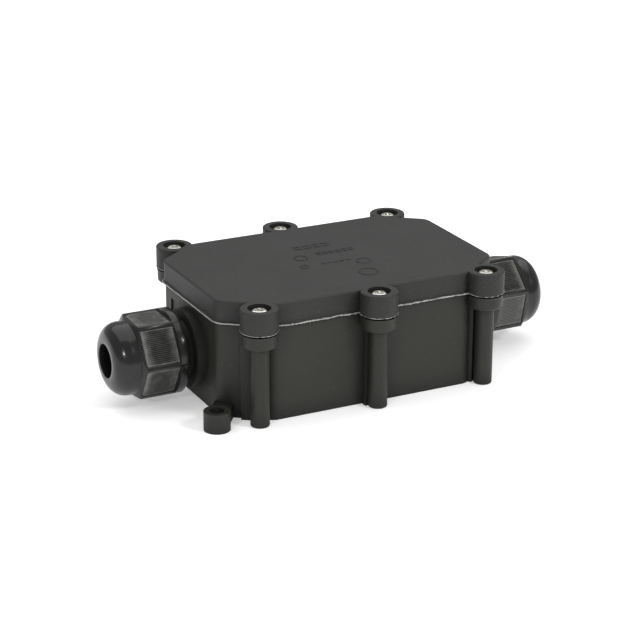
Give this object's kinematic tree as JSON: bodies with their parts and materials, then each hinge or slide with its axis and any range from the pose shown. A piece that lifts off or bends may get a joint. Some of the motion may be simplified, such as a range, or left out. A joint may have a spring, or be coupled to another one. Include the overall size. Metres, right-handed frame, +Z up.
{
  "type": "outdoor cable junction box",
  "caption": "Low rectangular weatherproof junction box with a screwed lid, a domed compression cable gland on each end, diagonal fixing ears and a terminal block inside.",
  "frame": {"origin": "on the resting plane, under the middle of the whole part", "axes": "+X along the box from the left gland to the right one, +Y to the rear long side, +Z up through the lid"},
  "size_m": [0.158, 0.0844, 0.0394],
  "materials": {
    "housing_plastic": "moulded, very fine matt grain",
    "lid_plastic": "moulded, fine spark-eroded texture",
    "gland_nylon": "semi-gloss moulded nylon",
    "seal_rubber": "matt",
    "zinc_steel": "bright zinc plate",
    "terminal_brass": "turned",
    "terminal_plastic": "natural nylon, satin"
  },
  "bodies": {
    "base": {"base_housing": "housing_plastic", "lid_gasket": "seal_rubber", "terminal_block": "terminal_plastic", "block_fixing_screws": "zinc_steel", "terminal_sleeve_1": "terminal_brass", "terminal_sleeve_2": "terminal_brass", "terminal_sleeve_3": "terminal_brass"},
    "lid_body": {"lid": "lid_plastic"},
    "screw_front_left": {"lid_screw_front_left": "zinc_steel"},
    "screw_front_middle": {"lid_screw_front_middle": "zinc_steel"},
    "screw_front_right": {"lid_screw_front_right": "zinc_steel"},
    "screw_rear_left": {"lid_screw_rear_left": "zinc_steel"},
    "screw_rear_middle": {"lid_screw_rear_middle": "zinc_steel"},
    "screw_rear_right": {"lid_screw_rear_right": "zinc_steel"},
    "left_insert": {"left_clamping_cage": "gland_nylon", "left_seal_bush": "seal_rubber"},
    "left_nut": {"left_gland_nut": "gland_nylon"},
    "right_insert": {"right_clamping_cage": "gland_nylon", "right_seal_bush": "seal_rubber"},
    "right_nut": {"right_gland_nut": "gland_nylon"},
    "clamp_screw_1": {"terminal_screw_1": "zinc_steel"},
    "clamp_screw_2": {"terminal_screw_2": "zinc_steel"},
    "clamp_screw_3": {"terminal_screw_3": "zinc_steel"},
    "clamp_screw_4": {"terminal_screw_4": "zinc_steel"},
    "clamp_screw_5": {"terminal_screw_5": "zinc_steel"},
    "clamp_screw_6": {"terminal_screw_6": "zinc_steel"}
  },
  "joints": [
    {"name": "lid_lift", "type": "slide", "parent": "base", "child": "lid_body", "axis": [0, 0, 1], "range_m": [0, 0.03]},
    {"name": "screw_front_left_turn", "type": "hinge", "parent": "lid_body", "child": "screw_front_left", "pos_m": [-0.0406, -0.0337, 0.0359], "axis": [0, 0, 1], "continuous": true},
    {"name": "screw_front_middle_turn", "type": "hinge", "parent": "lid_body", "child": "screw_front_middle", "pos_m": [0, -0.0361, 0.0359], "axis": [0, 0, 1], "continuous": true},
    {"name": "screw_front_right_turn", "type": "hinge", "parent": "lid_body", "child": "screw_front_right", "pos_m": [0.0406, -0.0337, 0.0359], "axis": [0, 0, 1], "continuous": true},
    {"name": "screw_rear_left_turn", "type": "hinge", "parent": "lid_body", "child": "screw_rear_left", "pos_m": [-0.0406, 0.0337, 0.0359], "axis": [0, 0, 1], "continuous": true},
    {"name": "screw_rear_middle_turn", "type": "hinge", "parent": "lid_body", "child": "screw_rear_middle", "pos_m": [0, 0.0361, 0.0359], "axis": [0, 0, 1], "continuous": true},
    {"name": "screw_rear_right_turn", "type": "hinge", "parent": "lid_body", "child": "screw_rear_right", "pos_m": [0.0406, 0.0337, 0.0359], "axis": [0, 0, 1], "continuous": true},
    {"name": "left_gland_draw", "type": "slide", "parent": "base", "child": "left_insert", "axis": [-1, 0, 0], "range_m": [0, 0.012]},
    {"name": "left_nut_turn", "type": "hinge", "parent": "left_insert", "child": "left_nut", "pos_m": [-0.0656, 0, 0.0164], "axis": [-1, 0, 0], "range_deg": [0, 2400]},
    {"name": "right_gland_draw", "type": "slide", "parent": "base", "child": "right_insert", "axis": [1, 0, 0], "range_m": [0, 0.012]},
    {"name": "right_nut_turn", "type": "hinge", "parent": "right_insert", "child": "right_nut", "pos_m": [0.0656, 0, 0.0164], "axis": [1, 0, 0], "range_deg": [0, 2400]},
    {"name": "clamp_screw_1_turn", "type": "hinge", "parent": "base", "child": "clamp_screw_1", "pos_m": [-0.0053, -0.0094, 0.013], "axis": [0, 0, 1], "continuous": true},
    {"name": "clamp_screw_2_turn", "type": "hinge", "parent": "base", "child": "clamp_screw_2", "pos_m": [0.0053, -0.0094, 0.013], "axis": [0, 0, 1], "continuous": true},
    {"name": "clamp_screw_3_turn", "type": "hinge", "parent": "base", "child": "clamp_screw_3", "pos_m": [-0.0053, 0, 0.013], "axis": [0, 0, 1], "continuous": true},
    {"name": "clamp_screw_4_turn", "type": "hinge", "parent": "base", "child": "clamp_screw_4", "pos_m": [0.0053, 0, 0.013], "axis": [0, 0, 1], "continuous": true},
    {"name": "clamp_screw_5_turn", "type": "hinge", "parent": "base", "child": "clamp_screw_5", "pos_m": [-0.0053, 0.0094, 0.013], "axis": [0, 0, 1], "continuous": true},
    {"name": "clamp_screw_6_turn", "type": "hinge", "parent": "base", "child": "clamp_screw_6", "pos_m": [0.0053, 0.0094, 0.013], "axis": [0, 0, 1], "continuous": true}
  ],
  "couplings": [
    {"joint": "left_gland_draw", "follows": "left_nut_turn", "m_per_rad": 0.00023873},
    {"joint": "right_gland_draw", "follows": "right_nut_turn", "m_per_rad": 0.00023873}
  ]
}
